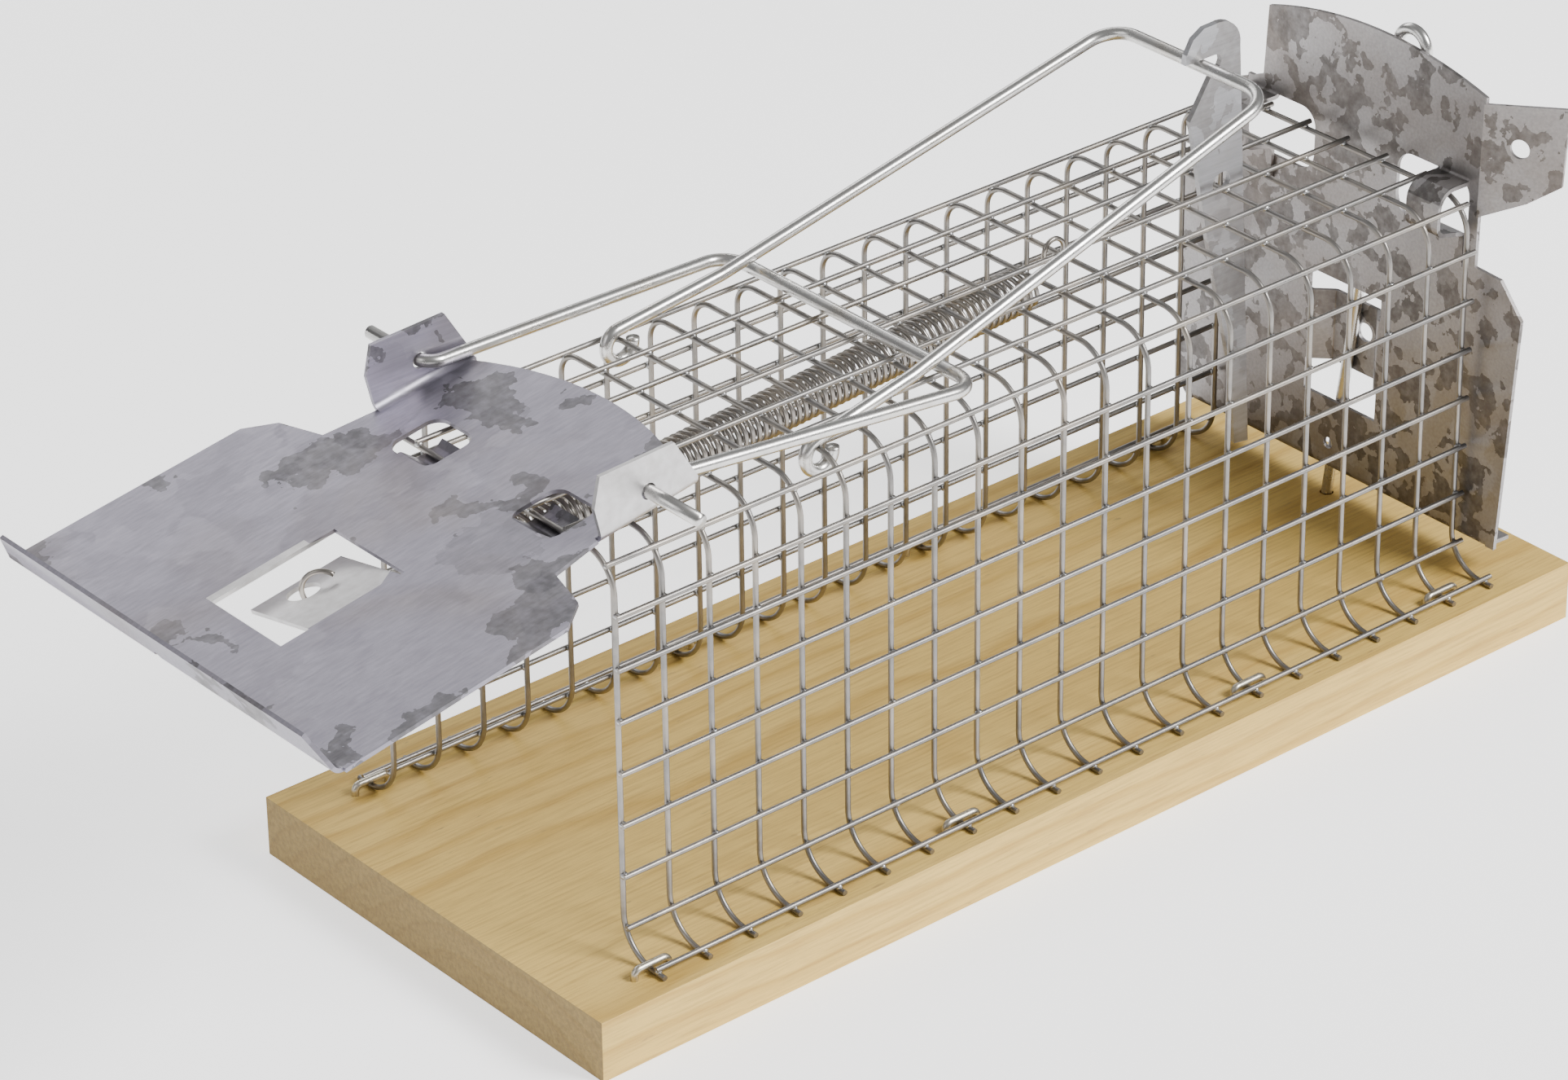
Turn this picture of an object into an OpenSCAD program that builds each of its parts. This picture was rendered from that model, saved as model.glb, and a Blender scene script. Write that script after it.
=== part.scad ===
// Live-catch mouse trap: a wire-mesh cage on a wooden board, with a sprung front flap held up by
// two wire bows and a bait trigger, and a hinged rear door locked by a wire pin.
// X runs front (-) to back (+), Y across, Z up; the origin is the middle of the board's underside.

/* [Board] */
// Length of the base board, front to back
board_l = 148; // [144:1:160]
// Width of the base board
board_w = 60; // [58:1:70]
// Thickness of the base board
board_t = 7.5; // [6:0.5:12]

/* [Cage] */
// Diameter of the mesh wires
mesh_d = 0.65; // [0.5:0.05:0.7]
// Spacing of the long wires, front to back runs
long_pitch = 6.35; // [6.2:0.05:6.5]
// Spacing of the cross bows
bow_pitch = 6.32; // [6.2:0.02:6.4]
// Distance of the first cross bow in front of the board's middle
front_bow = 63.9; // [63:0.1:65]
// Height of the roof of the cross bows above the board
cage_h = 48.4; // [48:0.1:49]
// Half the width of the cage, to the middle of the wire
cage_half = 20.3; // [20:0.1:20.8]
// Sideways place of the cage on the board
cage_y = -1.1; // [-1.5:0.1:-0.8]

/* [Front flap] */
// Thickness of the sheet metal
sheet_t = 0.5; // [0.4:0.05:0.6]
// Slope of the flap when the trap is set, in degrees
flap_slope = 9.7; // [9:0.1:10]
// Length of the flap in front of its hinge wire
flap_l = 40.4; // [36:0.2:42]
// Width of the flap at its lip
flap_w = 57.6; // [50:0.2:58]
// Height of the lip
lip_h = 5.6; // [3:0.1:6]

/* [Bows and trigger] */
// Diameter of the wire of the two bows
bow_d = 1.6; // [1.4:0.05:1.6]
// Length of the flap bow, from its pivot to its crossbar
flap_bow_l = 44.7; // [44:0.1:46]
// Thickness of the trigger plate
trigger_t = 0.7; // [0.5:0.1:0.8]
// Sideways lean of the trigger plate, in degrees
trigger_lean = 5.9; // [4:0.1:6]

/* [Spring] */
// Outside diameter of the spring
spring_d = 5.4; // [5:0.1:5.6]
// Diameter of the spring wire
spring_wire = 0.5; // [0.4:0.05:0.6]

/* [Rear door] */
// Backward lean of the rear door, in degrees
door_lean = 1.5; // [1:0.1:1.6]
// Diameter of the latch pin
pin_d = 1.4; // [1.2:0.1:1.4]

/* [Hidden] */
$fn = 32;

// Wires are welded where they cross, so they bite into each other a little
weld_bite = 0.03;
wire_gap = mesh_d - weld_bite;
near_corner_r = 4.5;
far_corner_r = 3;
foot_r = 5;
foot_reach = 6.8;
foot_wire_reach = 5.7;
foot_wire_angle = 20;
wire_stub = 0.85;
last_bow = 20;
top_z = board_t + cage_h;
near_y = cage_y - cage_half;
far_y = cage_y + cage_half;
foot_z = mesh_d / 2;
function bow_x(i) = -front_bow + i * bow_pitch;

// Cross bows with a job of their own
bow_pivot_i = 5;
spring_anchor_i = 13;
trigger_pivot_i = 17;

// ---- Paths: straight runs joined by round bends ----

seam_gap = 0.03;
joint_swell = 0.16;
joint_l = 1.2;
bend_steps = 5;

function unit(v) = v / norm(v);
function turn(a, b) = atan2(a[0] * b[1] - a[1] * b[0], a[0] * b[0] + a[1] * b[1]);
function heading(p, i) = unit(p[i + 1] - p[i]);
function bend(p, i) = turn(heading(p, i - 1), heading(p, i));
// Length that the bend at corner i takes off each run beside it
function trim(p, r, i) = (i == 0 || i == len(p) - 1) ? 0 : r[i - 1] * tan(abs(bend(p, i)) / 2);
function left_of(h) = [-h[1], h[0]];
function bend_centre(p, r, i) = p[i] - heading(p, i - 1) * trim(p, r, i)
    + left_of(heading(p, i - 1)) * sign(bend(p, i)) * r[i - 1];
// Direction from the bend's centre to where the bend starts
function bend_start(p, i) =
    let (l = left_of(heading(p, i - 1)) * -sign(bend(p, i))) atan2(l[1], l[0]);

// A bent wire, for paths whose runs meet at right angles
module wire(p, r, d) {
    last = len(p) - 2;
    for (i = [0:last]) {
        h = heading(p, i);
        a = p[i] + h * trim(p, r, i);
        translate([a[0], a[1], 0])
            rotate([0, 0, atan2(h[1], h[0])])
                rotate([0, 90, 0])
                    cylinder(d = d, h = norm(p[i + 1] - p[i]) - trim(p, r, i) - trim(p, r, i + 1));
    }
    for (i = [1:last]) {
        c = bend_centre(p, r, i);
        turned = bend(p, i);
        from = bend_start(p, i);
        translate([c[0], c[1], 0])
            rotate([0, 0, min(from, from + turned)])
                rotate_extrude(angle = abs(turned))
                    translate([r[i - 1], 0]) circle(d = d);
    }
}

// Outline of a strip of sheet bent along a path
function band_side(p, r, off) = concat(
    [p[0] + left_of(heading(p, 0)) * off],
    [for (i = [1:len(p) - 2], k = [0:bend_steps])
        let (at = bend_start(p, i) + bend(p, i) * k / bend_steps)
            bend_centre(p, r, i) + (r[i - 1] - sign(bend(p, i)) * off) * [cos(at), sin(at)]],
    [p[len(p) - 1] + left_of(heading(p, len(p) - 2)) * off]
);
function reversed(v) = [for (i = [len(v) - 1:-1:0]) v[i]];
module band(p, r) {
    polygon(concat(band_side(p, r, sheet_t / 2), reversed(band_side(p, r, -sheet_t / 2))));
}

// Stands a path that is drawn in X and Y up across the trap (Y and Z) or along it (X and Z)
module across() { rotate([90, 0, 90]) children(); }
module along() { rotate([90, 0, 0]) children(); }

// A strip of sheet metal of width w, its bent edge drawn by the child
module strip(w) { translate([0, 0, -w / 2]) linear_extrude(w) children(); }

// A straight rod from p to q, stopping a hair short of both
module rod(p, q, d) {
    v = q - p;
    translate(p + unit(v) * seam_gap)
        rotate([0, acos(v[2] / norm(v)), atan2(v[1], v[0])])
            cylinder(d = d, h = norm(v) - 2 * seam_gap);
}

// A slight thickening where two rods meet at a small angle, square to the direction v
module knuckle_joint(at, v, d) {
    translate(at - unit(v) * joint_l / 2)
        rotate([0, acos(v[2] / norm(v)), atan2(v[1], v[0])])
            cylinder(d = d + joint_swell, h = joint_l);
}

// A closed or part ring of wire, standing along the trap
module wire_ring(r, d, from, sweep) {
    along()
        rotate([0, 0, from])
            rotate_extrude(angle = sweep)
                translate([r, 0]) circle(d = d);
}

module rounded_rect(size, r) {
    for (sx = [-1, 1], sy = [-1, 1])
        translate([sx * (size[0] / 2 - r), sy * (size[1] / 2 - r)]) circle(r);
    square([size[0] - 2 * r, size[1]], center = true);
    square([size[0], size[1] - 2 * r], center = true);
}

// ---- Board ----

pin_hole_r = 0.85;
pin_hole_depth = 4.5;

module base_board() {
    color("burlywood")
        difference() {
            translate([-board_l / 2, -board_w / 2, 0]) cube([board_l, board_w, board_t]);
            rear_frame() pin_axis()
                translate([0, 0, -pin_hole_depth])
                    cylinder(r = pin_hole_r, h = pin_hole_depth + 2);
        }
}

// ---- Cage ----

bow_path = [
    [near_y - foot_reach, foot_z], [near_y, foot_z], [near_y, cage_h],
    [far_y, cage_h], [far_y, foot_z], [far_y + foot_reach, foot_z]
];
bow_bends = [foot_r, near_corner_r, far_corner_r, foot_r];

module cross_bow(i) {
    translate([bow_x(i), 0, board_t])
        across() wire(bow_path, bow_bends, mesh_d);
}

module cross_bows(list) { color("silver") for (i = list) cross_bow(i); }

module door_hinge_wire() { cross_bows([0]); }
module bow_pivot_wire() { cross_bows([bow_pivot_i]); }
module spring_anchor_wire() { cross_bows([spring_anchor_i]); }
module trigger_pivot_wire() { cross_bows([trigger_pivot_i]); }
module rear_hinge_wire() { cross_bows([last_bow]); }
module cross_bows_front() { cross_bows([1:bow_pivot_i - 1]); }
module cross_bows_middle() { cross_bows([bow_pivot_i + 1:spring_anchor_i - 1]); }
module cross_bows_rear() {
    cross_bows([spring_anchor_i + 1:trigger_pivot_i - 1]);
    cross_bows([trigger_pivot_i + 1:last_bow - 1]);
}

// One long wire, at a place in the cage's cross-section
module long_wire(y, z) {
    translate([-front_bow - mesh_d / 2, y, board_t + z])
        rotate([0, 90, 0])
            cylinder(d = mesh_d, h = bow_x(last_bow) + wire_stub + front_bow + mesh_d / 2);
}

wall_wires = 6;
top_wall_z = 41.9;

// Wires of one side wall: side is -1 for the near wall and 1 for the far wall
module wall_wire_set(side) {
    wall = cage_y + side * (cage_half + wire_gap);
    for (k = [0:wall_wires - 1])
        long_wire(wall, top_wall_z - k * long_pitch);
    r = foot_r - wire_gap;
    long_wire(cage_y + side * (cage_half + foot_r - r * cos(foot_wire_angle)),
        foot_z + foot_r - r * sin(foot_wire_angle));
}

module near_wall_wires() { color("silver") wall_wire_set(-1); }
module far_wall_wires() { color("silver") wall_wire_set(1); }

module roof_wires() {
    color("silver")
        for (k = [-2:2]) long_wire(cage_y + k * long_pitch, cage_h + wire_gap);
}

module corner_wires() {
    near_r = near_corner_r + wire_gap;
    far_r = far_corner_r + wire_gap;
    color("silver") {
        long_wire(near_y + near_corner_r - near_r * cos(45),
            cage_h - near_corner_r + near_r * sin(45));
        long_wire(far_y - far_corner_r + far_r * cos(45),
            cage_h - far_corner_r + far_r * sin(45));
    }
}

module foot_wires() {
    color("silver")
        for (side = [-1, 1])
            long_wire(cage_y + side * (cage_half + foot_wire_reach), foot_z + wire_gap);
}

// ---- Staples: each straddles the foot of a cross bow ----

staple_d = 0.9;
staple_half = 2.3;
staple_depth = 5;
staple_reach = 4.5;
near_staple_bows = [0, 7, 14, 19];
far_staple_bows = [0, 7, 13, 19];

module staple() {
    crown = mesh_d + staple_d / 2 + 0.05;
    along()
        wire([[-staple_half, -staple_depth], [-staple_half, crown], [staple_half, crown],
            [staple_half, -staple_depth]], [0.7, 0.7], staple_d);
}

module staples(side, bows) {
    color("lightgray")
        for (i = bows)
            translate([bow_x(i), cage_y + side * (cage_half + staple_reach), board_t])
                staple();
}

module near_staples() { staples(-1, near_staple_bows); }
module far_staples() { staples(1, far_staple_bows); }

// ---- Front flap ----
// Drawn in a frame on the hinge wire whose X runs back along the flap and Z stands square to it

flap_off = 1.2;
flap_side_back = 11.4;
flap_chamfer = [3.4, 3];
neck_start = 6.4;
neck_half = 20;
ear_y = 19.5;
ear_bend_r = 1.3;
ear_front = 0.2;
ear_back = 13.4;
pivot_x = 7;
pivot_z = 4.1;
pivot_hole_r = bow_d / 2 + 0.15;
tail_sag = 5.2;
tail_back = 17.2;
lip_lean = 19;
lip_bend_r = 1.2;
lip_taper = 1.8;
knuckle_y = 9.5;
knuckle_w = 4.5;
knuckle_slot = [7.2, 7];
knuckle_slot_y = 10.4;
knuckle_r = mesh_d / 2 + 0.1 + sheet_t / 2;
window_front = 32.3;
window_back = 16.2;
window_near = -7.1;
window_far = 5;
tongue_front = 28.6;
tongue_drop = 14;
tongue_hole_r = 1.9;
tongue_hole = [-23.6, 8.6];

module flap_frame() {
    translate([-front_bow, 0, top_z]) rotate([0, -flap_slope, 0]) children();
}

module flap_outline() {
    half = flap_w / 2;
    intersection() {
        polygon([
            [-flap_l, -half], [-flap_side_back, -half + 0.5],
            [-flap_side_back + flap_chamfer[0], -half + flap_chamfer[1]],
            [-neck_start, -neck_half], [ear_front, 0.5 - ear_y], [ear_front, ear_bend_r - ear_y],
            [ear_back, ear_bend_r - ear_y], [tail_back, -6], [tail_back, 6],
            [ear_back, ear_y - ear_bend_r], [ear_front, ear_y - ear_bend_r],
            [ear_front, ear_y - 0.5], [-neck_start, neck_half],
            [-flap_side_back + flap_chamfer[0], half - flap_chamfer[1]],
            [-flap_side_back, half - 0.5], [-flap_l, half]
        ]);
        tail_circle();
    }
}

// The flap's tail ends in a wide arc; the circle reaches far enough to keep the front whole
module tail_circle() {
    r = (pow(ear_y, 2) + pow(tail_sag, 2)) / (2 * tail_sag);
    translate([tail_back - r, 0]) circle(r, $fn = 128);
    translate([-flap_l - 1, -flap_w / 2 - 1]) square([flap_l + 5, flap_w + 2]);
}

module flap_window() {
    translate([-window_front, window_near])
        square([window_front - window_back, window_far - window_near]);
}

module flap_sheet() {
    translate([0, 0, flap_off - sheet_t / 2])
        linear_extrude(sheet_t)
            difference() {
                flap_outline();
                flap_window();
                for (side = [-1, 1])
                    translate([0.2, cage_y + side * knuckle_slot_y])
                        rounded_rect(knuckle_slot, 1.8);
            }
}

// The tongue stays joined along the window's near edge and is pressed down towards the far one
module flap_tongue() {
    reach = window_far - window_near - 0.6;
    translate([0, window_near, flap_off + sheet_t / 2])
        rotate([-tongue_drop, 0, 0])
            translate([0, 0, -sheet_t])
                linear_extrude(sheet_t)
                    difference() {
                        translate([-tongue_front, 0])
                            square([tongue_front - window_back - 0.5, reach]);
                        translate(tongue_hole) circle(tongue_hole_r);
                    }
}

module flap_lip() {
    half = flap_w / 2 - 0.4;
    along()
        translate([0, 0, -half])
            linear_extrude(2 * half)
                lip_bend();
    lip_foot = [-flap_l - lip_bend_r * cos(lip_lean), flap_off + lip_bend_r * (1 - sin(lip_lean))];
    translate([lip_foot[0], 0, lip_foot[1]])
        rotate([0, -lip_lean, 0])
            rotate([90, 0, 90])
                translate([0, 0, -sheet_t / 2])
                    linear_extrude(sheet_t)
                        polygon([[-half, 0], [-half + lip_taper, lip_h - lip_bend_r],
                            [half - lip_taper, lip_h - lip_bend_r], [half, 0]]);
}

// Cross-section of the bend between the flap and its lip
module lip_bend() {
    turned = 90 - lip_lean;
    translate([-flap_l, flap_off + lip_bend_r])
        intersection() {
            ring_2d(lip_bend_r);
            polygon([[0, 0], [0, -9], [-9 * sin(turned), -9], [-9 * sin(turned), -9 * cos(turned)]]);
        }
}

module ring_2d(r) {
    difference() {
        circle(r + sheet_t / 2);
        circle(r - sheet_t / 2);
    }
}

// One ear, for the side at +Y: a quarter bend up from the flap, then a plate with the bow's hole
module flap_ear() {
    translate([ear_front, ear_y - ear_bend_r, flap_off + ear_bend_r])
        rotate([90, 0, 90])
            linear_extrude(ear_back - ear_front)
                intersection() {
                    ring_2d(ear_bend_r);
                    translate([0, -9]) square(9);
                }
    foot = flap_off + ear_bend_r;
    translate([0, ear_y, 0])
        along()
            translate([0, 0, -sheet_t / 2])
                linear_extrude(sheet_t)
                    difference() {
                        polygon([[ear_front, foot], [0, 5.7], [1.4, 9.1], [11.2, 7.9],
                            [ear_back, foot]]);
                        translate([pivot_x, pivot_z]) circle(pivot_hole_r);
                    }
}

// A tab pressed out of the flap and curled under the hinge wire
module flap_knuckle() {
    slot_front = 0.2 - knuckle_slot[0] / 2;
    along()
        strip(knuckle_w)
            band([[slot_front - 0.6, flap_off], [slot_front + 0.3, flap_off],
                [-knuckle_r - 0.6, -knuckle_r], [knuckle_r + 1, -knuckle_r],
                [knuckle_r + 1.9, -0.1]], [0.4, 0.9, 0.8]);
}

module front_flap() {
    color("darkgray")
        flap_frame() {
            difference() {
                union() {
                    flap_sheet();
                    flap_lip();
                }
                translate([-flap_l - 0.6, 1.5, flap_off]) cylinder(r = 0.9, h = 4, center = true);
            }
            flap_tongue();
            flap_ear();
            mirror([0, 1, 0]) flap_ear();
            for (side = [-1, 1])
                translate([0, cage_y + side * knuckle_y, 0]) flap_knuckle();
        }
}

// ---- Flap bow: sprung into the flap's ears, its crossbar lies on the cage roof ----

flap_pivot = [
    -front_bow + pivot_x * cos(flap_slope) - pivot_z * sin(flap_slope),
    top_z + pivot_x * sin(flap_slope) + pivot_z * cos(flap_slope)
];
roof_top = top_z + wire_gap + mesh_d / 2;
flap_bow_rest_z = roof_top + bow_d / 2 + 0.65;
flap_bow_slope = asin((flap_pivot[1] - flap_bow_rest_z) / flap_bow_l);
flap_bow_end = 28.2;
flap_bow_leg = 17.9;
flap_bow_half = 21.2;
// Bend radius at the ears and at the crossbar
flap_bow_bends = [1.9, 3.2];
bow_stub = 1;

module flap_bow() {
    ear_joint = flap_bow_bends[0] + bow_stub;
    bar_joint = flap_bow_l - flap_bow_bends[1] - bow_stub;
    color("gainsboro")
        translate([flap_pivot[0], 0, flap_pivot[1]])
            rotate([0, flap_bow_slope, 0]) {
                wire([[bar_joint, flap_bow_half], [flap_bow_l, flap_bow_half],
                    [flap_bow_l, -flap_bow_half], [bar_joint, -flap_bow_half]],
                    [flap_bow_bends[1], flap_bow_bends[1]], bow_d);
                for (side = [-1, 1]) {
                    wire([[0, side * flap_bow_end], [0, side * flap_bow_leg],
                        [ear_joint, side * flap_bow_leg]], [flap_bow_bends[0]], bow_d);
                    joints = [[ear_joint, side * flap_bow_leg, 0],
                        [bar_joint, side * flap_bow_half, 0]];
                    for (joint = joints) knuckle_joint(joint, joints[1] - joints[0], bow_d);
                    rod(joints[0], joints[1], bow_d);
                }
            }
}

// ---- Set bow: hooked round a roof wire, it holds the flap bow down ----

set_bow_y = 16.9;
set_bow_half = 12.9;
set_bow_bar = [38.3, board_t + 66.2];
set_ring_r = 1.9;
set_leg_off = mesh_d / 2 + bow_d / 2 + 0.03;
// The legs are bent slightly where they press on the flap bow
set_knee = [-18.139, board_t + 51.895];
set_knee_y = 16.1;
set_pivot = [bow_x(bow_pivot_i), top_z];
set_far_slope = atan2(set_bow_bar[1] - set_knee[1], set_bow_bar[0] - set_knee[0]);
set_leg_l = norm(set_bow_bar - set_knee);
knee_from_pivot = set_knee - set_pivot;
set_near_slope = atan2(knee_from_pivot[1], knee_from_pivot[0])
    - asin(set_leg_off / norm(knee_from_pivot));
set_leg_dir = [cos(set_near_slope), sin(set_near_slope)];
set_normal = [-set_leg_dir[1], set_leg_dir[0]];
set_bow_bend = 4;
set_ring_sweep = 268;

module set_bow() {
    bar_joint = set_leg_l - set_bow_bend - bow_stub;
    color("gainsboro") {
        translate([set_knee[0], 0, set_knee[1]])
            rotate([0, -set_far_slope, 0]) {
                wire([[bar_joint, set_bow_half], [set_leg_l, set_bow_half],
                    [set_leg_l, -set_bow_half], [bar_joint, -set_bow_half]],
                    [set_bow_bend, set_bow_bend], bow_d);
                for (side = [-1, 1]) {
                    joint = [bar_joint, side * set_bow_half, 0];
                    knee = [0, side * set_knee_y, 0];
                    knuckle_joint(joint, joint - knee, bow_d);
                    rod(joint, knee, bow_d);
                }
            }
        for (side = [-1, 1]) {
            knee = [set_knee[0], side * set_knee_y, set_knee[1]];
            translate([set_pivot[0], side * set_bow_y, set_pivot[1]])
                rotate([0, -set_near_slope, 0])
                    translate([0, 0, set_leg_off]) {
                        rotate([0, 90, 0]) cylinder(d = bow_d, h = bow_stub);
                        translate([0, 0, -set_ring_r])
                            wire_ring(set_ring_r, bow_d, 90, set_ring_sweep);
                    }
            foot = set_pivot + set_normal * set_leg_off + set_leg_dir * bow_stub;
            joint = [foot[0], side * set_bow_y, foot[1]];
            for (at = [joint, knee]) knuckle_joint(at, knee - joint, bow_d);
            rod(joint, knee, bow_d);
        }
    }
}

// ---- Door spring: a close coil between the flap's tongue and a roof wire ----

coil_front = [-80.4, -4.6, board_t + 42.8];
coil_back = [14.5, 1, board_t + 45.2];
spring_anchor = [bow_x(spring_anchor_i), 1, top_z];
rear_hook_sweep = 290;
front_hook_sweep = 225;
front_hook_shift = [1.9, -0.8, 0];
rear_hook_r = 1.5;
front_hook_r = 2.3;
hook_grip = 0.8;

module door_spring() {
    axis = coil_back - coil_front;
    color("dimgray") {
        translate(coil_front)
            rotate([0, acos(axis[2] / norm(axis)), atan2(axis[1], axis[0])])
                cylinder(d = spring_d, h = norm(axis));
        hook(spring_anchor, rear_hook_r, coil_back + [-hook_grip, 0, 0], rear_hook_sweep);
        hook(tongue_hole_at + front_hook_shift, front_hook_r,
            coil_front + [hook_grip, 0, 0], front_hook_sweep);
    }
}

// Loop whose last bit runs straight into the coil's end
module hook(centre, r, coil_end, sweep) {
    v = coil_end - centre;
    leave = atan2(v[2], norm([v[0], v[1]])) - acos(r / norm(v));
    translate(centre)
        rotate([0, 0, atan2(v[1], v[0])])
            along()
                rotate([0, 0, leave])
                    mirror([0, 1, 0]) {
                        rotate_extrude(angle = sweep)
                            translate([r, 0]) circle(d = spring_wire);
                        translate([r, 0, 0])
                            rotate([90, 0, 0])
                                cylinder(d = spring_wire, h = sqrt(v * v - r * r));
                    }
}

// Middle of the tongue's hole in the trap's frame
tongue_local = [
    tongue_hole[0],
    window_near + tongue_hole[1] * cos(tongue_drop),
    flap_off + sheet_t / 2 - tongue_hole[1] * sin(tongue_drop) - sheet_t / 2
];
tongue_hole_at = [
    -front_bow + tongue_local[0] * cos(flap_slope) - tongue_local[2] * sin(flap_slope),
    tongue_local[1],
    top_z + tongue_local[0] * sin(flap_slope) + tongue_local[2] * cos(flap_slope)
];

// ---- Trigger plate: hangs on a roof wire, its beak hooks over the set bow ----

trigger_y = 0.3;
trigger_hole_r = 1.4;
trigger_hole_up = 0.95;
head_r = 4.1;
head_at = [-3.5, 18.9];
notch_roof = 18.85;
notch_r = 1.15;
notch_end = -3.4;

function arc(c, r, from, to, steps) =
    [for (k = [0:steps]) let (at = from + (to - from) * k / steps) c + r * [cos(at), sin(at)]];

// Beak, head, tapering bait tail, bulge and neck, then the rounded notch under the beak
module trigger_outline() {
    difference() {
        polygon(concat(
            [[-8.1, notch_roof], [-8, 20.1], [-7.2, 21.9], [-5.6, 22.9]],
            arc(head_at, head_r, 100, 0, 8),
            [[9.7, -38.2], [7.4, -37.8], [5, -25.8], [1.6, -15.4], [-1.9, -4.3], [-5.7, 9.1],
                [-6.3, 10.9], [-4, 15.4]],
            arc([notch_end, notch_roof - notch_r], notch_r, -90, 90, 6)
        ));
        translate([0, trigger_hole_up]) circle(trigger_hole_r);
    }
}

module trigger_plate() {
    color("slategray")
        translate([bow_x(trigger_pivot_i), trigger_y, top_z])
            rotate([trigger_lean, 0, 0])
                along()
                    translate([0, 0, -trigger_t / 2])
                        linear_extrude(trigger_t) trigger_outline();
}

// ---- Rear door ----
// Drawn in a frame on the rear hinge wire whose Z runs up the door and X stands square to it

door_off = 2.5;
pin_off = door_off + sheet_t / 2 + 0.1 + pin_d / 2;
pin_tilt = 6.55;
pin_foot_y = 1.6;
door_bottom = 4.4 - cage_h;
strap_low = 17.5 - cage_h;
strap_high = 26.7 - cage_h;
strap_window = [[-6.7, 13.4 - cage_h], [5.2, 29.5 - cage_h]];
flange_depth = 3.8;
door_ear_w = 5.1;
near_ear_y = -16.85;
far_ear_y = 14.7;
ear_opening = [11.6, 8];
ear_opening_top = 1.3;
wing_bend = 21;
wing_y = -21;

module rear_frame() {
    translate([bow_x(last_bow), 0, top_z]) rotate([0, door_lean, 0]) children();
}

// Origin on the latch pin's axis, level with the board's top, Z up along the pin
module pin_axis() {
    translate([pin_off, pin_foot_y, -cage_h / cos(door_lean)])
        rotate([pin_tilt, 0, 0])
            children();
}

// Outline of the door, drawn in Y and Z
module door_outline() {
    intersection() {
        polygon([
            [-27.1, door_bottom], [-28.7, 35 - cage_h], [-25.1, 39 - cage_h],
            [wing_y, 39.2 - cage_h], [wing_y, 20], [14, 20], [14.7, 3.1], [19.6, 1],
            [20.4, 39.2 - cage_h], [25, 39 - cage_h], [28, 35 - cage_h], [27, 6.4 - cage_h],
            [25, door_bottom]
        ]);
        translate([-3.5, 63.2 - cage_h - 60]) circle(60, $fn = 160);
    }
}

module ear_hole_2d(y) {
    centre_y = y + (y < 0 ? 3.2 : -3.2);
    translate([centre_y, ear_opening_top - ear_opening[1] / 2])
        rounded_rect(ear_opening, 2.4);
}

module door_panel() {
    translate([door_off - sheet_t / 2, 0, 0])
        across()
            linear_extrude(sheet_t)
                difference() {
                    door_outline();
                    translate(strap_window[0]) square(strap_window[1] - strap_window[0]);
                    ear_hole_2d(near_ear_y);
                    ear_hole_2d(far_ear_y);
                    translate([0.65, 7.6 - cage_h]) circle(0.75);
                }
}

// Strap pressed back out of the door, which guides the pin
module door_strap() {
    strap_off = pin_off + pin_d / 2 + 0.1 + sheet_t / 2;
    difference() {
        translate([0, 0, (strap_low + strap_high) / 2])
            strip(strap_high - strap_low)
                band([[door_off, strap_window[0][0] - 0.8], [door_off, strap_window[0][0] + 0.4],
                    [strap_off, strap_window[0][0] + 2.4], [strap_off, strap_window[1][0] - 2.4],
                    [door_off, strap_window[1][0] - 0.4], [door_off, strap_window[1][0] + 0.8]],
                    [0.5, 0.5, 0.5, 0.5]);
        translate([strap_off, -2.4, 23 - cage_h])
            rotate([0, 90, 0]) cylinder(d = 2.4, h = 3, center = true);
    }
}

module door_ear(y) {
    translate([0, y, 0])
        along()
            strip(door_ear_w)
                band([[door_off, 2.4], [door_off, 0.95], [-2.6, 0.95], [-2.6, -4.4],
                    [door_off - sheet_t - 0.05, -5.4], [door_off - sheet_t - 0.05, -9.6]],
                    [0.6, 2.2, 1.2, 0.8]);
}

module door_wing() {
    translate([door_off, wing_y, 0])
        rotate([0, 0, wing_bend])
            across()
                translate([0, 0, -sheet_t / 2])
                    linear_extrude(sheet_t)
                        difference() {
                            polygon([[0.3, 45.5 - cage_h], [-5.7, 48.6 - cage_h],
                                [-9.8, 51.6 - cage_h], [-10.1, 61.4 - cage_h],
                                [0.3, 59.8 - cage_h]]);
                            translate([-4.4, 55.2 - cage_h]) circle(1.2);
                        }
}

module door_flange() {
    half = 25;
    difference() {
        translate([0, -0.8, 0])
            along()
                strip(2 * half)
                    band([[door_off, door_bottom + 1.2], [door_off, door_bottom],
                        [door_off + flange_depth, door_bottom - 0.1]], [0.7]);
        pin_axis() cylinder(d = pin_d + 0.25, h = 20);
    }
}

module rear_door() {
    color("gray")
        rear_frame() {
            difference() {
                door_panel();
                // The flange's bend takes the place of the panel's lower edge
                translate([0, -25.8, door_bottom - 1]) cube([9, 50, 1.8]);
            }
            door_strap();
            door_ear(near_ear_y);
            door_ear(far_ear_y);
            door_wing();
            door_flange();
        }
}

// ---- Latch pin: slides behind the door and drops into the board; its end is a finger ring ----

pin_clear = 0.15;
pin_top = 62.8;
pin_ring_r = 2.3;
pin_ring_sweep = 315;

module latch_pin() {
    color("lightgray")
        rear_frame() pin_axis() {
            translate([0, 0, pin_clear]) cylinder(d = pin_d, h = pin_top - pin_clear);
            translate([0, -pin_ring_r, pin_top])
                across()
                    rotate_extrude(angle = pin_ring_sweep)
                        translate([pin_ring_r, 0]) circle(d = pin_d);
        }
}

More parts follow.
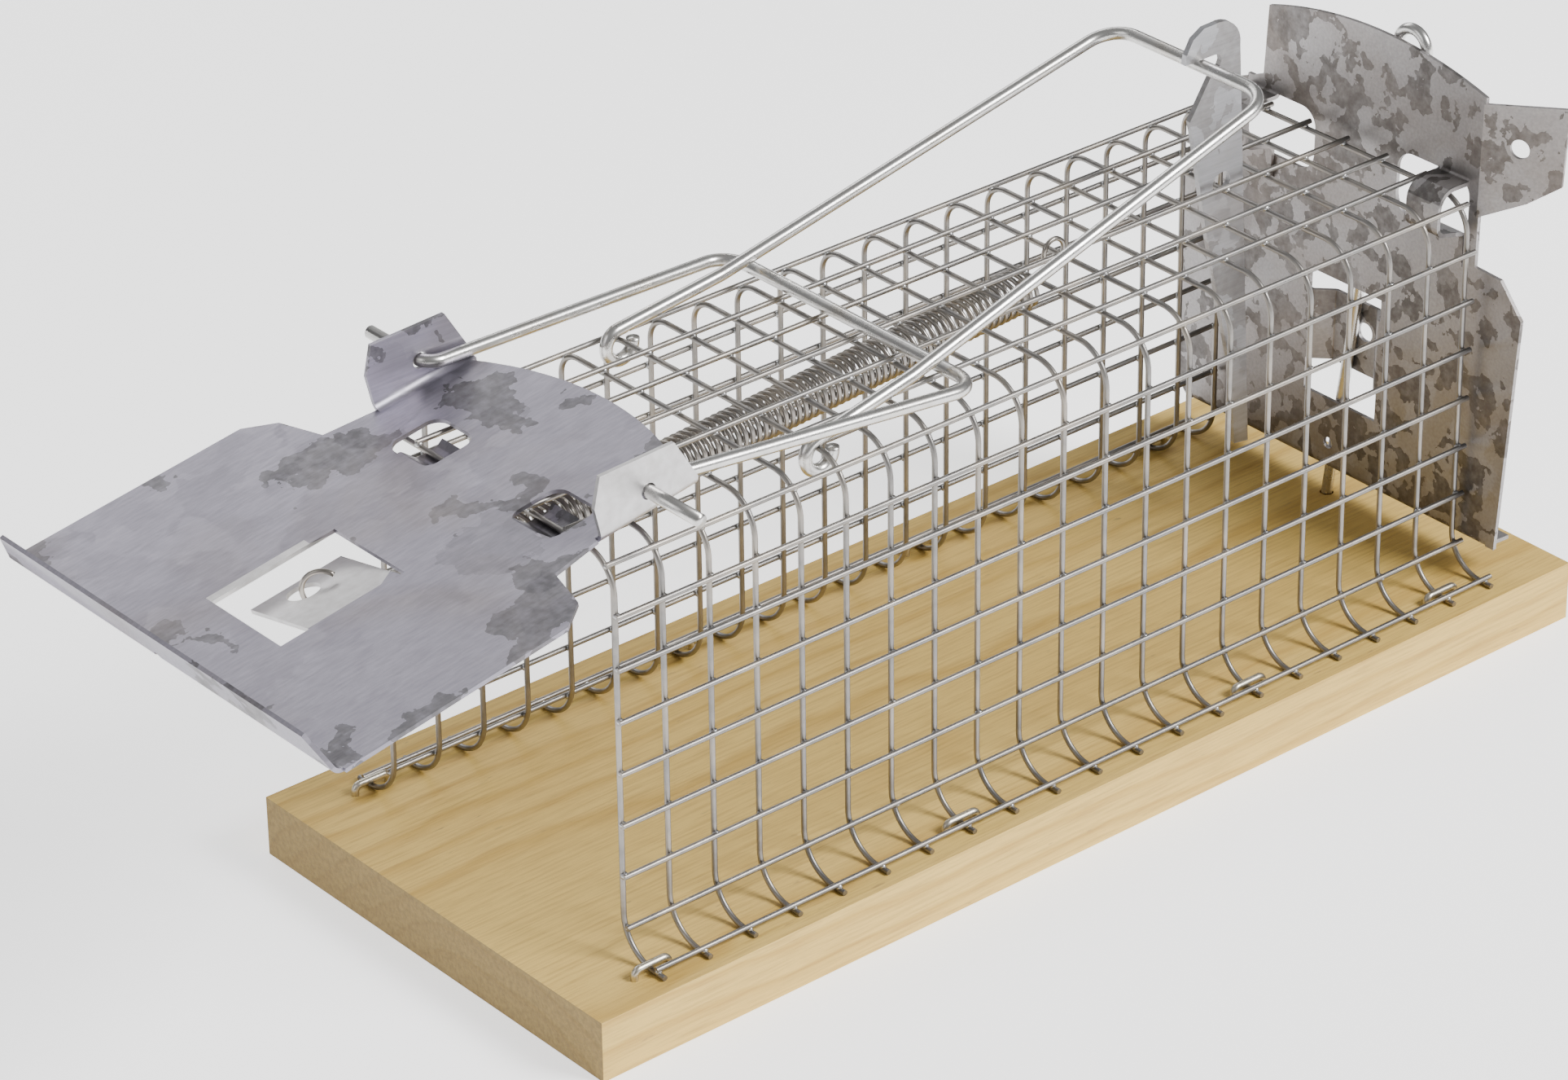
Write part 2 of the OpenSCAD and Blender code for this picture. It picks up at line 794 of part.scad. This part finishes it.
base_board();
door_hinge_wire();
bow_pivot_wire();
spring_anchor_wire();
trigger_pivot_wire();
rear_hinge_wire();
cross_bows_front();
cross_bows_middle();
cross_bows_rear();
near_wall_wires();
far_wall_wires();
roof_wires();
corner_wires();
foot_wires();
near_staples();
far_staples();
front_flap();
flap_bow();
set_bow();
door_spring();
trigger_plate();
rear_door();
latch_pin();
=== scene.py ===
"""Wire-cage mouse trap: the looks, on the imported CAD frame. Metres, in the CAD's own frame."""
import math
import random

import bpy
from mathutils import Matrix, Vector

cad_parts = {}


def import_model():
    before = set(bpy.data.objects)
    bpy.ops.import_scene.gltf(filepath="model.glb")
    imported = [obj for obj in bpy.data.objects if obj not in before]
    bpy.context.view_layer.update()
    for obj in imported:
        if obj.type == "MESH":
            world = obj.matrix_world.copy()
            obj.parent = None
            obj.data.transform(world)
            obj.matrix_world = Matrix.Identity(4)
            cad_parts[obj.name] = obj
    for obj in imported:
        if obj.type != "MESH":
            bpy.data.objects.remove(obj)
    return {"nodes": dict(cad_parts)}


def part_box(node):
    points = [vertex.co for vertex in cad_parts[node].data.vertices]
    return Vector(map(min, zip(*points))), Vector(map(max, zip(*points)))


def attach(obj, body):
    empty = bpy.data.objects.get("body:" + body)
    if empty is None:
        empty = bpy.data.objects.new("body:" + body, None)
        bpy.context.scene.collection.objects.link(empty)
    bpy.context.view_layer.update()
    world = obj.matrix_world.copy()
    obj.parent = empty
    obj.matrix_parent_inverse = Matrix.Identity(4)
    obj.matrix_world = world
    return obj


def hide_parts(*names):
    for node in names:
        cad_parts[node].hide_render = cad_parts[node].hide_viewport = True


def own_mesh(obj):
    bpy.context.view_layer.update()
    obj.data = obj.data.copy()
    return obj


MM = 0.001
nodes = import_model()["nodes"]
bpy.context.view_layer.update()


# ---- Node helpers ----

class Mat:
    def __init__(self, name):
        self.mat = bpy.data.materials.new(name)
        self.mat.use_nodes = True
        self.nt = self.mat.node_tree
        self.nt.nodes.clear()
        self.out = self.nt.nodes.new("ShaderNodeOutputMaterial")
        self.bsdf = self.nt.nodes.new("ShaderNodeBsdfPrincipled")
        self.nt.links.new(self.bsdf.outputs[0], self.out.inputs[0])
        self.coord = self.nt.nodes.new("ShaderNodeTexCoord").outputs["Object"]

    def set(self, **values):
        for key, value in values.items():
            socket = self.bsdf.inputs[key.replace("_", " ")]
            if hasattr(value, "is_output"):
                self.nt.links.new(value, socket)
            else:
                socket.default_value = value
        return self

    def node(self, kind, inputs=None, **props):
        n = self.nt.nodes.new(kind)
        for k, v in props.items():
            setattr(n, k, v)
        for k, v in (inputs or {}).items():
            if hasattr(v, "is_output"):
                self.nt.links.new(v, n.inputs[k])
            else:
                n.inputs[k].default_value = v
        return n

    def mapping(self, scale, vector=None, location=(0, 0, 0)):
        return self.node("ShaderNodeMapping", {
            "Vector": vector or self.coord, "Scale": scale, "Location": location}).outputs[0]

    def noise(self, scale, detail=3.0, vector=None, distortion=0.0, rough=0.5):
        return self.node("ShaderNodeTexNoise", {
            "Vector": vector or self.coord, "Scale": scale, "Detail": detail,
            "Roughness": rough, "Distortion": distortion}).outputs["Fac"]

    def ramp(self, fac, stops):
        n = self.node("ShaderNodeValToRGB", {"Fac": fac})
        elements = n.color_ramp.elements
        while len(elements) < len(stops):
            elements.new(0.5)
        for e, (pos, col) in zip(elements, stops):
            e.position = pos
            e.color = (col, col, col, 1) if isinstance(col, (int, float)) else (*col, 1)
        return n.outputs["Color"]

    def mix(self, fac, a, b, blend="MIX"):
        n = self.nt.nodes.new("ShaderNodeMix")
        n.data_type = "RGBA"
        n.blend_type = blend
        for key, v in (("Factor", fac), ("A", a), ("B", b)):
            socket = [s for s in n.inputs if s.name == key and s.enabled][0]
            if hasattr(v, "is_output"):
                self.nt.links.new(v, socket)
            elif key == "Factor":
                socket.default_value = v
            else:
                socket.default_value = (*v, 1) if len(v) == 3 else v
        return [s for s in n.outputs if s.enabled][0]

    def math(self, op, a, b=0.0, c=0.0):
        n = self.nt.nodes.new("ShaderNodeMath")
        n.operation = op
        for i, v in enumerate((a, b, c)):
            if hasattr(v, "is_output"):
                self.nt.links.new(v, n.inputs[i])
            else:
                n.inputs[i].default_value = v
        return n.outputs[0]

    def bump(self, height, strength, distance):
        n = self.node("ShaderNodeBump", {
            "Height": height, "Strength": strength, "Distance": distance})
        self.nt.links.new(n.outputs[0], self.bsdf.inputs["Normal"])
        return self


def warped(m, amount, scale, detail=3.0):
    """Object coordinates pushed about by a noise, in metres."""
    n = m.node("ShaderNodeTexNoise", {"Vector": m.coord, "Scale": scale, "Detail": detail})
    shift = m.node("ShaderNodeVectorMath", {0: n.outputs["Color"], 1: (0.5, 0.5, 0.5)},
                   operation="SUBTRACT")
    push = m.node("ShaderNodeVectorMath", {0: shift.outputs[0], "Scale": amount},
                  operation="SCALE")
    return m.node("ShaderNodeVectorMath", {0: m.coord, 1: push.outputs[0]},
                  operation="ADD").outputs[0]


def cells(m, vector, scale):
    """A random grey for each crystal-like cell."""
    n = m.node("ShaderNodeTexVoronoi", {"Vector": vector, "Scale": scale})
    sep = m.node("ShaderNodeSeparateColor", {0: n.outputs["Color"]})
    return sep.outputs[0]


def inside(m, low, high):
    """1 inside the box, 0 outside it."""
    sep = m.node("ShaderNodeSeparateXYZ", {0: m.coord})
    mask = 1.0
    for i in range(3):
        mask = m.math("MULTIPLY", mask, m.math("GREATER_THAN", sep.outputs[i], low[i]))
        mask = m.math("MULTIPLY", mask, m.math("LESS_THAN", sep.outputs[i], high[i]))
    return mask


SPANGLE_SCALE = 320
PAINTED_LIGHT_ZINC = ((0.60, 0.585, 0.57), (0.74, 0.73, 0.72))


def galvanised(name, base, dark, warm, patch_scale, patch_share, rough, lit_boxes=()):
    """Zinc-coated sheet: faint crystal spangle, darker leaf-like patches, rolled streaks and stains.

    patch_share is the part of the sheet under the patches; inside the given boxes the zinc is
    brightened as painted light, where those faces catch the key light."""
    m = Mat(name)
    spangle = cells(m, warped(m, 0.004, 400, 4), SPANGLE_SCALE)
    tone = m.ramp(spangle, [(0.0, [c * 0.90 for c in base]), (1.0, [c * 1.07 for c in base])])
    leaf = cells(m, warped(m, 0.010, 260, 5), patch_scale)
    patch_edge, soft = 1 - patch_share, 0.02
    mask = m.ramp(leaf, [(patch_edge - soft, 0.0), (patch_edge + soft, 1.0)])
    fine = m.noise(900, 4)
    mask = m.mix(1.0, mask, m.ramp(fine, [(0.25, 0.55), (0.6, 1.0)]), "MULTIPLY")
    tone = m.mix(mask, tone, dark)
    stain = m.ramp(m.noise(55, 5, distortion=0.6), [(0.50, 0.0), (0.72, 0.55)])
    tone = m.mix(stain, tone, warm)
    streak = m.noise(1.0, 4, m.mapping((140, 2600, 2600)))
    tone = m.mix(0.22, tone, m.ramp(streak, [(0.3, 0.35), (0.7, 0.85)]), "OVERLAY")
    for low, high in lit_boxes:
        # painted light: the zinc is brightened inside each box where the face catches the key light
        painted_lit = m.ramp(fine, [(0.3, PAINTED_LIGHT_ZINC[0]), (0.7, PAINTED_LIGHT_ZINC[1])])
        tone = m.mix(m.math("MULTIPLY", inside(m, low, high), 0.8), tone, painted_lit)
    m.set(Base_Color=tone, Metallic=0.85)
    m.set(Roughness=m.math("ADD", rough, m.math("MULTIPLY", spangle, 0.14)))
    dents = m.math("ADD", m.math("MULTIPLY", streak, 0.35), m.noise(300, 3))
    m.bump(dents, 0.25, 0.12 * MM)
    return m.mat


TARNISH = (0.50, 0.44, 0.36)


def steel(name, base, rough, stain_share=0.18):
    """Drawn wire: bright, with faint draw marks and a little brown tarnish."""
    m = Mat(name)
    mottle = m.noise(700, 4)
    tone = m.mix(m.ramp(mottle, [(0.35, 0.0), (0.75, 0.6)]), base, [c * 0.72 for c in base])
    stain = m.ramp(m.noise(160, 4), [(0.62 - stain_share * 0.4, 0.0), (0.80, 0.6)])
    m.set(Base_Color=m.mix(stain, tone, TARNISH), Metallic=1.0)
    m.set(Roughness=m.math("ADD", rough, m.math("MULTIPLY", mottle, 0.16)))
    m.bump(m.noise(2600, 2), 0.15, 0.05 * MM)
    return m.mat


RINGS_PER_M = 330
PALE_WOOD = (0.760, 0.530, 0.145)
LATE_WOOD = (0.480, 0.275, 0.045)
CLOUDED_WOOD = (0.58, 0.37, 0.085)
FIBRE_WOOD = (0.36, 0.20, 0.045)
FLECK_WOOD = (0.30, 0.19, 0.08)
# end-face brown: partly real end grain, partly painted shade
END_GRAIN_AND_SHADE_WOOD = (0.21, 0.135, 0.035)


def pine():
    """Sawn softwood: growth rings run along X, so the top shows long grain and the ends show arcs."""
    m = Mat("pine")
    v = m.mapping((0.10, 1.0, 1.0), warped(m, 0.0035, 35, 3), location=(0, 0.012, 0.030))
    sep = m.node("ShaderNodeSeparateXYZ", {0: v})
    flat = m.node("ShaderNodeCombineXYZ", {0: 0.0, 1: sep.outputs[1], 2: sep.outputs[2]})
    dist = m.node("ShaderNodeVectorMath", {0: flat.outputs[0]}, operation="LENGTH").outputs["Value"]
    wobble = m.noise(1.0, 3, m.mapping((9, 60, 60)))
    count = m.math("ADD", m.math("MULTIPLY", dist, RINGS_PER_M), m.math("MULTIPLY", wobble, 1.6))
    ring = m.math("FRACT", count)
    late = m.ramp(ring, [(0.0, 0.0), (0.55, 0.12), (0.86, 1.0), (0.97, 0.25), (1.0, 0.0)])
    tone = m.mix(m.math("MULTIPLY", late, 0.62), PALE_WOOD, LATE_WOOD)
    cloud = m.noise(1.0, 3, m.mapping((16, 45, 45)))
    tone = m.mix(m.ramp(cloud, [(0.35, 0.0), (0.75, 0.50)]), tone, CLOUDED_WOOD)
    fibre = m.noise(1.0, 5, m.mapping((110, 2400, 2400)), rough=0.65)
    tone = m.mix(m.ramp(fibre, [(0.32, 0.50), (0.56, 0.0)]), tone, FIBRE_WOOD)
    fleck = m.noise(1.0, 2, m.mapping((330, 1500, 1500)))
    tone = m.mix(m.ramp(fleck, [(0.70, 0.0), (0.78, 0.55)]), tone, FLECK_WOOD)
    # Sawn end grain: darker and more open-pored where the face looks along X; the darkening is partly
    # real end grain and partly painted shade for the end faces turned from the light
    normal = m.node("ShaderNodeSeparateXYZ", {
        0: m.node("ShaderNodeNewGeometry").outputs["Normal"]}).outputs[0]
    end = m.ramp(m.math("ABSOLUTE", normal), [(0.75, 0.0), (0.95, 1.0)])
    pores = m.ramp(m.noise(1500, 4), [(0.35, 0.75), (0.65, 1.0)])
    sawn_and_shaded = m.mix(1.0, m.mix(0.80, tone, END_GRAIN_AND_SHADE_WOOD), pores, "MULTIPLY")
    tone = m.mix(end, tone, sawn_and_shaded)
    m.set(Base_Color=tone, Roughness=0.62)
    m.bump(m.math("ADD", fibre, m.math("MULTIPLY", late, 0.4)), 0.35, 0.2 * MM)
    return m.mat


# Painted light: brighter zinc on the flap's pressed-down tongue and on its near ear, the faces turned
# to the key light
TONGUE_BOX = ((-0.096, -0.0068, 0.040), (-0.0803, 0.006, 0.05405))
NEAR_EAR_BOX = ((-0.066, -0.0200, 0.0580), (-0.048, -0.0185, 0.070))

PINE = pine()
FLAP = galvanised(
    "flap_sheet", base=(0.30, 0.285, 0.335), dark=(0.13, 0.125, 0.135), warm=(0.22, 0.195, 0.195),
    patch_scale=130, patch_share=0.24, rough=0.38, lit_boxes=(TONGUE_BOX, NEAR_EAR_BOX))
REAR = galvanised(
    "rear_sheet", base=(0.35, 0.335, 0.335), dark=(0.13, 0.12, 0.115), warm=(0.22, 0.185, 0.16),
    patch_scale=330, patch_share=0.42, rough=0.36)
TRIGGER = galvanised(
    "trigger_sheet", base=(0.44, 0.44, 0.46), dark=(0.30, 0.29, 0.29), warm=(0.34, 0.31, 0.29),
    patch_scale=150, patch_share=0.22, rough=0.36)
MESH = steel("mesh_wire", (0.27, 0.26, 0.25), 0.34, stain_share=0.45)
# weld lumps are real; their grey, brighter than the mesh wire, is partly painted highlight
WELD_AND_GLINT = steel("weld_spot_glint", (0.50, 0.50, 0.50), 0.30)
BOW = steel("bow_wire", (0.70, 0.69, 0.67), 0.20)
SPRING = steel("spring_wire", (0.33, 0.31, 0.29), 0.24, stain_share=0.4)
STAPLE = steel("staple_wire", (0.66, 0.62, 0.52), 0.28)


def finish_node(name, material, smooth=40):
    o = nodes[name]
    o.data.materials.clear()
    o.data.materials.append(material)
    o.data.shade_smooth()
    o.data.set_sharp_from_angle(angle=math.radians(smooth))


for n in ("door_hinge_wire", "bow_pivot_wire", "spring_anchor_wire", "trigger_pivot_wire",
          "rear_hinge_wire", "cross_bows_front", "cross_bows_middle", "cross_bows_rear",
          "near_wall_wires", "far_wall_wires", "roof_wires", "corner_wires", "foot_wires"):
    finish_node(n, MESH)
finish_node("base_board", PINE)
finish_node("front_flap", FLAP, 30)
finish_node("rear_door", REAR, 30)
finish_node("trigger_plate", TRIGGER, 30)
for n in ("flap_bow", "set_bow", "latch_pin"):
    finish_node(n, BOW)
for n in ("near_staples", "far_staples"):
    finish_node(n, STAPLE)

bevel = nodes["base_board"].modifiers.new("worn_edge", "BEVEL")
bevel.width = 0.5 * MM
bevel.segments = 3
bevel.limit_method = "ANGLE"


def mesh_object(name, verts, faces, material, smooth=True):
    me = bpy.data.meshes.new(name)
    me.from_pydata(verts, [], faces)
    me.update()
    me.materials.append(material)
    if smooth:
        me.shade_smooth()
    o = bpy.data.objects.new(name, me)
    bpy.context.scene.collection.objects.link(o)
    return o


def tube(points, radius, sides):
    """Vertices and faces of a round wire along a line of points."""
    verts, faces = [], []
    normal = None
    for i, p in enumerate(points):
        ahead = points[min(i + 1, len(points) - 1)]
        behind = points[max(i - 1, 0)]
        t = (ahead - behind).normalized()
        if normal is None:
            normal = t.orthogonal().normalized()
        normal = (normal - t * normal.dot(t)).normalized()
        side = t.cross(normal)
        for k in range(sides):
            a = 2 * math.pi * k / sides
            verts.append(p + radius * (math.cos(a) * normal + math.sin(a) * side))
        if i:
            for k in range(sides):
                a, b = (i - 1) * sides + k, (i - 1) * sides + (k + 1) % sides
                faces.append((a, b, b + sides, a + sides))
    faces.append(tuple(range(sides))[::-1])
    faces.append(tuple(len(verts) - sides + k for k in range(sides)))
    return verts, faces


def smooth_line(keys, step):
    """A smooth line through the key points."""
    line = []
    for i in range(len(keys) - 1):
        a, b = keys[max(i - 1, 0)], keys[i]
        c, d = keys[i + 1], keys[min(i + 2, len(keys) - 1)]
        count = max(2, int((c - b).length / step))
        for k in range(count):
            t = k / count
            line.append(0.5 * ((2 * b) + (c - a) * t + (2 * a - 5 * b + 4 * c - d) * t * t
                               + (3 * b - a - 3 * c + d) * t ** 3))
    line.append(keys[-1])
    return line


def filleted(keys, radii, steps=8):
    """A line through the keys, its inner corners rounded by the given radii."""
    line = [keys[0]]
    for i, radius in enumerate(radii, 1):
        back = (keys[i - 1] - keys[i]).normalized()
        ahead = (keys[i + 1] - keys[i]).normalized()
        half = back.angle(ahead) / 2
        centre = keys[i] + (back + ahead).normalized() * (radius / math.sin(half))
        start = keys[i] + back * (radius / math.tan(half)) - centre
        end = keys[i] + ahead * (radius / math.tan(half)) - centre
        swing = start.angle(end)
        for k in range(steps + 1):
            t = k / steps
            line.append(centre + (start * math.sin((1 - t) * swing)
                                  + end * math.sin(t * swing)) / math.sin(swing))
    line.append(keys[-1])
    return line


def mirrored(line):
    """The line followed by its own mirror image across Y = 0."""
    return line + [Vector((p.x, -p.y, p.z)) for p in reversed(line)]


# ---- The two bows, as continuous bent wire ----

BOW_R = 0.78 * MM
BOW_SIDES = 14
FLAP_PIVOT = Vector((-57.691, 0, 61.121)) * MM
FLAP_BAR = Vector((-13.08, 0, 58.300)) * MM
FLAP_END_Y, FLAP_EAR_Y, FLAP_BAR_Y = 28.2, 17.9, 21.2
FLAP_BENDS = [1.9 * MM, 3.2 * MM]


def off_axis(point, y):
    """The point moved y millimetres off the trap's middle plane."""
    return Vector((point.x, y * MM, point.z))


flap_keys = [off_axis(FLAP_PIVOT, FLAP_END_Y), off_axis(FLAP_PIVOT, FLAP_EAR_Y),
             off_axis(FLAP_BAR, FLAP_BAR_Y), off_axis(FLAP_BAR, 0)]
half_bow = filleted(flap_keys, FLAP_BENDS)[:-1]
flap_wire = mesh_object("flap_bow_wire", *tube(mirrored(half_bow), BOW_R, BOW_SIDES), BOW)
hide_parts("flap_bow")
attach(flap_wire, "flap_bow_body")

SET_PIVOT = Vector((-32.30, 0, 55.90)) * MM
SET_KNEE = Vector((-18.139, 0, 59.395)) * MM
SET_BAR = Vector((38.30, 0, 73.70)) * MM
SET_EYE_Y, SET_KNEE_Y, SET_BAR_Y = 16.9, 16.1, 12.9
SET_BENDS = [6 * MM, 4 * MM]
NEAR_SLOPE = math.radians(9.32)
# Each eye runs round the roof wire from its free end, at EYE_END degrees, back to the leg on top
EYE_R = 1.9 * MM
EYE_END = 358
EYE_SWEEP = 268
EYE_STEPS = 32
LEG_OFF = 1.155 * MM
normal_up = Vector((-math.sin(NEAR_SLOPE), 0, math.cos(NEAR_SLOPE)))
eye_centre = SET_PIVOT + normal_up * (LEG_OFF - EYE_R)
eye_line = []
for k in range(EYE_STEPS + 1):
    a = math.radians(EYE_END - EYE_SWEEP * k / EYE_STEPS) + NEAR_SLOPE
    eye_line.append(off_axis(eye_centre + EYE_R * Vector((math.cos(a), 0, math.sin(a))), SET_EYE_Y))
set_keys = [eye_line[-1], off_axis(SET_KNEE, SET_KNEE_Y), off_axis(SET_BAR, SET_BAR_Y),
            off_axis(SET_BAR, 0)]
leg = filleted(set_keys, SET_BENDS)[1:-1]
set_wire = mesh_object("set_bow_wire", *tube(mirrored(eye_line + leg), BOW_R, BOW_SIDES), BOW)
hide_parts("set_bow")
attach(set_wire, "set_bow_body")


# ---- Door spring: a turned coil with a loop at each end ----

COIL_R = 2.38 * MM
COIL_WIRE = 0.30 * MM
COIL_PITCH = 1.0 * MM
COIL_STEPS = 20
WIRE_SIDES = 7
FRONT_LOOP_R, FRONT_SWEEP = 2.3 * MM, 225
REAR_LOOP_R, REAR_SWEEP = 1.5 * MM, 290
coil_front = Vector((-80.4, -4.6, 50.3)) * MM
coil_back = Vector((14.5, 1.0, 52.7)) * MM
axis = (coil_back - coil_front).normalized()
start = coil_front + axis * COIL_WIRE
length = (coil_back - coil_front).length - 2 * COIL_WIRE
across = axis.cross(Vector((0, 0, 1))).normalized()
above = across.cross(axis)
total = round(length / COIL_PITCH) * COIL_STEPS
coil = []
for i in range(total + 1):
    a = 2 * math.pi * i / COIL_STEPS
    from_end = min(i, total - i) / COIL_STEPS
    radius = COIL_R * min(1.0, 0.25 + from_end)
    coil.append(start + axis * (length * i / total)
                + radius * (math.cos(a) * above + math.sin(a) * across))


def hook(centre, radius, coil_end, sweep, count=26):
    """A loop in the upright plane through its centre and the coil's end, then straight to the coil."""
    v = coil_end - centre
    ahead = Vector((v.x, v.y, 0)).normalized()
    reach = Vector((v.x, v.y, 0)).length
    leave = math.atan2(v.z, reach) - math.acos(radius / v.length)
    pts = []
    for k in range(count + 1):
        a = leave - math.radians(sweep) * (1 - k / count)
        pts.append(centre + radius * (math.cos(a) * ahead + math.sin(a) * Vector((0, 0, 1))))
    for k in range(1, 5):
        pts.append(pts[count].lerp(coil_end, k * 0.22))
    return pts


LEAD_STEP = 0.2 * MM
tongue_hole = Vector((-87.01, 1.244, 51.06)) * MM
front_centre = tongue_hole + Vector((1.9, -0.8, 0)) * MM
rear_centre = Vector((18.26, 1.0, 55.90)) * MM
front_hook = hook(front_centre, FRONT_LOOP_R, coil_front, FRONT_SWEEP)
rear_hook = hook(rear_centre, REAR_LOOP_R, coil_back, REAR_SWEEP)
front_lead = smooth_line([front_hook[-2], front_hook[-1], coil[0], coil[2]], LEAD_STEP)[4:-4]
rear_lead = smooth_line([coil[-3], coil[-1], rear_hook[-1], rear_hook[-2]], LEAD_STEP)[4:-4]
path = front_hook + front_lead + coil[2:-2] + rear_lead + rear_hook[::-1]
spring = mesh_object("spring_coil", *tube(path, COIL_WIRE, WIRE_SIDES), SPRING)
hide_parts("door_spring")
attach(spring, "spring")
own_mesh(spring)


# ---- Weld spots where the mesh wires cross ----

def spot(verts, faces, centre, size, rng):
    """Adds a small rounded lump of about the given radius."""
    bands, sides = 4, 7
    base = len(verts)
    scale = Vector((rng.uniform(0.85, 1.2), rng.uniform(0.85, 1.2), rng.uniform(0.85, 1.1))) * size
    for i in range(1, bands):
        a = math.pi * i / bands
        for k in range(sides):
            b = 2 * math.pi * k / sides
            verts.append(centre + Vector((scale.x * math.sin(a) * math.cos(b),
                                          scale.y * math.sin(a) * math.sin(b),
                                          scale.z * math.cos(a))))
    for i in range(bands - 2):
        for k in range(sides):
            a, b = base + i * sides + k, base + i * sides + (k + 1) % sides
            faces.append((a, a + sides, b + sides, b))
    faces.append(tuple(base + k for k in range(sides)))
    faces.append(tuple(base + (bands - 2) * sides + k for k in range(sides))[::-1])


BOWS = 20
PITCH = 6.35 * MM
WIRE = 0.65 * MM
WALL_ROWS = 6
SPOT_R = (0.40 * MM, 0.50 * MM)
MID_Y = -1.1 * MM
WALL_HALF = 20.3 * MM
FOOT_HALF = 26.0 * MM
LINE_OFFSET = 0.31 * MM
TOP_ROW_Z = 41.9 * MM
# The two long wires on the roof's corners and the lowest pair, each slightly off the regular rows
CORNERS = ((-20.30 * MM, 47.30 * MM), (18.54 * MM, 47.74 * MM))
LOW_HALF, LOW_Z = 21.03 * MM, 3.73 * MM

rng = random.Random(7)
hinge_low, hinge_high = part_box("door_hinge_wire")
rear_low, rear_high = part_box("rear_hinge_wire")
first_x = (hinge_low[0] + hinge_high[0]) / 2
last_x = (rear_low[0] + rear_high[0]) / 2
roof_z = hinge_high[2] - WIRE / 2
board_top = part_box("base_board")[1][2]
places = [(MID_Y + k * PITCH, roof_z + LINE_OFFSET) for k in range(-2, 3)]
near_wall, far_wall = MID_Y - WALL_HALF, MID_Y + WALL_HALF
for k in range(WALL_ROWS):
    z = board_top + TOP_ROW_Z - k * PITCH
    places += [(near_wall - LINE_OFFSET, z), (far_wall + LINE_OFFSET, z)]
for side in (-1, 1):
    places.append((MID_Y + side * FOOT_HALF, board_top + WIRE))
for y, z in CORNERS:
    places.append((y, board_top + z))
for side in (-1, 1):
    places.append((MID_Y + side * LOW_HALF, board_top + LOW_Z))
verts, faces = [], []
for i in range(BOWS + 1):
    x = first_x + (last_x - first_x) * i / BOWS
    for y, z in places:
        spot(verts, faces, Vector((x, y, z)), rng.uniform(*SPOT_R), rng)
welds = mesh_object("weld_spots", verts, faces, WELD_AND_GLINT)
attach(welds, "cage")


# ---- Stage ----

floor_mat = Mat("floor")
floor_mat.set(Base_Color=(0.95, 0.95, 0.95, 1), Roughness=0.9,
              Emission_Color=(1, 1, 1, 1), Emission_Strength=1.3)
HALF = 3
floor_corners = [(-HALF, -HALF, 0), (HALF, -HALF, 0), (HALF, HALF, 0), (-HALF, HALF, 0)]
floor = mesh_object("floor", floor_corners, [(0, 1, 2, 3)], floor_mat.mat, smooth=False)


def area_light(name, place, target, size, power):
    light = bpy.data.lights.new(name, "AREA")
    light.shape = "RECTANGLE"
    light.size, light.size_y = size
    light.energy = power
    o = bpy.data.objects.new(name, light)
    o.location = place
    o.rotation_euler = (Vector(target) - Vector(place)).to_track_quat("-Z", "Y").to_euler()
    bpy.context.scene.collection.objects.link(o)


centre = (0, 0, 0.03)
area_light("key", (0.45, -0.75, 0.80), centre, (0.45, 0.45), 20)
area_light("fill", (-0.95, 0.10, 0.55), centre, (0.60, 0.60), 2)
area_light("back", (0.25, 0.95, 0.65), centre, (0.9, 0.35), 4)

world = bpy.data.worlds.new("studio")
bpy.context.scene.world = world
world.use_nodes = True
wt = world.node_tree
wt.nodes.clear()
w_out = wt.nodes.new("ShaderNodeOutputWorld")
w_bg = wt.nodes.new("ShaderNodeBackground")
w_ramp = wt.nodes.new("ShaderNodeValToRGB")
w_sep = wt.nodes.new("ShaderNodeSeparateXYZ")
w_coord = wt.nodes.new("ShaderNodeTexCoord")
wt.links.new(w_coord.outputs["Generated"], w_sep.inputs[0])
wt.links.new(w_sep.outputs[2], w_ramp.inputs["Fac"])
wt.links.new(w_ramp.outputs["Color"], w_bg.inputs["Color"])
wt.links.new(w_bg.outputs[0], w_out.inputs[0])
horizon, zenith = w_ramp.color_ramp.elements
horizon.position = 0.0
horizon.color = (0.55, 0.55, 0.57, 1)
zenith.position = 0.75
zenith.color = (1.0, 1.0, 1.0, 1)
w_bg.inputs["Strength"].default_value = 0.30

cam_data = bpy.data.cameras.new("camera")
cam_data.lens = 133.5
cam_data.sensor_width = 36
cam_data.clip_start = 0.01
cam = bpy.data.objects.new("camera", cam_data)
eye = Vector((-0.3849, -0.4316, 0.3507))
target = Vector((-0.0158, 0.0086, 0.0278))
ROLL = -0.74
look = (target - eye).to_track_quat("-Z", "Y").to_matrix().to_4x4()
cam.matrix_world = Matrix.Translation(eye) @ look @ Matrix.Rotation(math.radians(ROLL), 4, "Z")
bpy.context.scene.collection.objects.link(cam)
bpy.context.scene.camera = cam
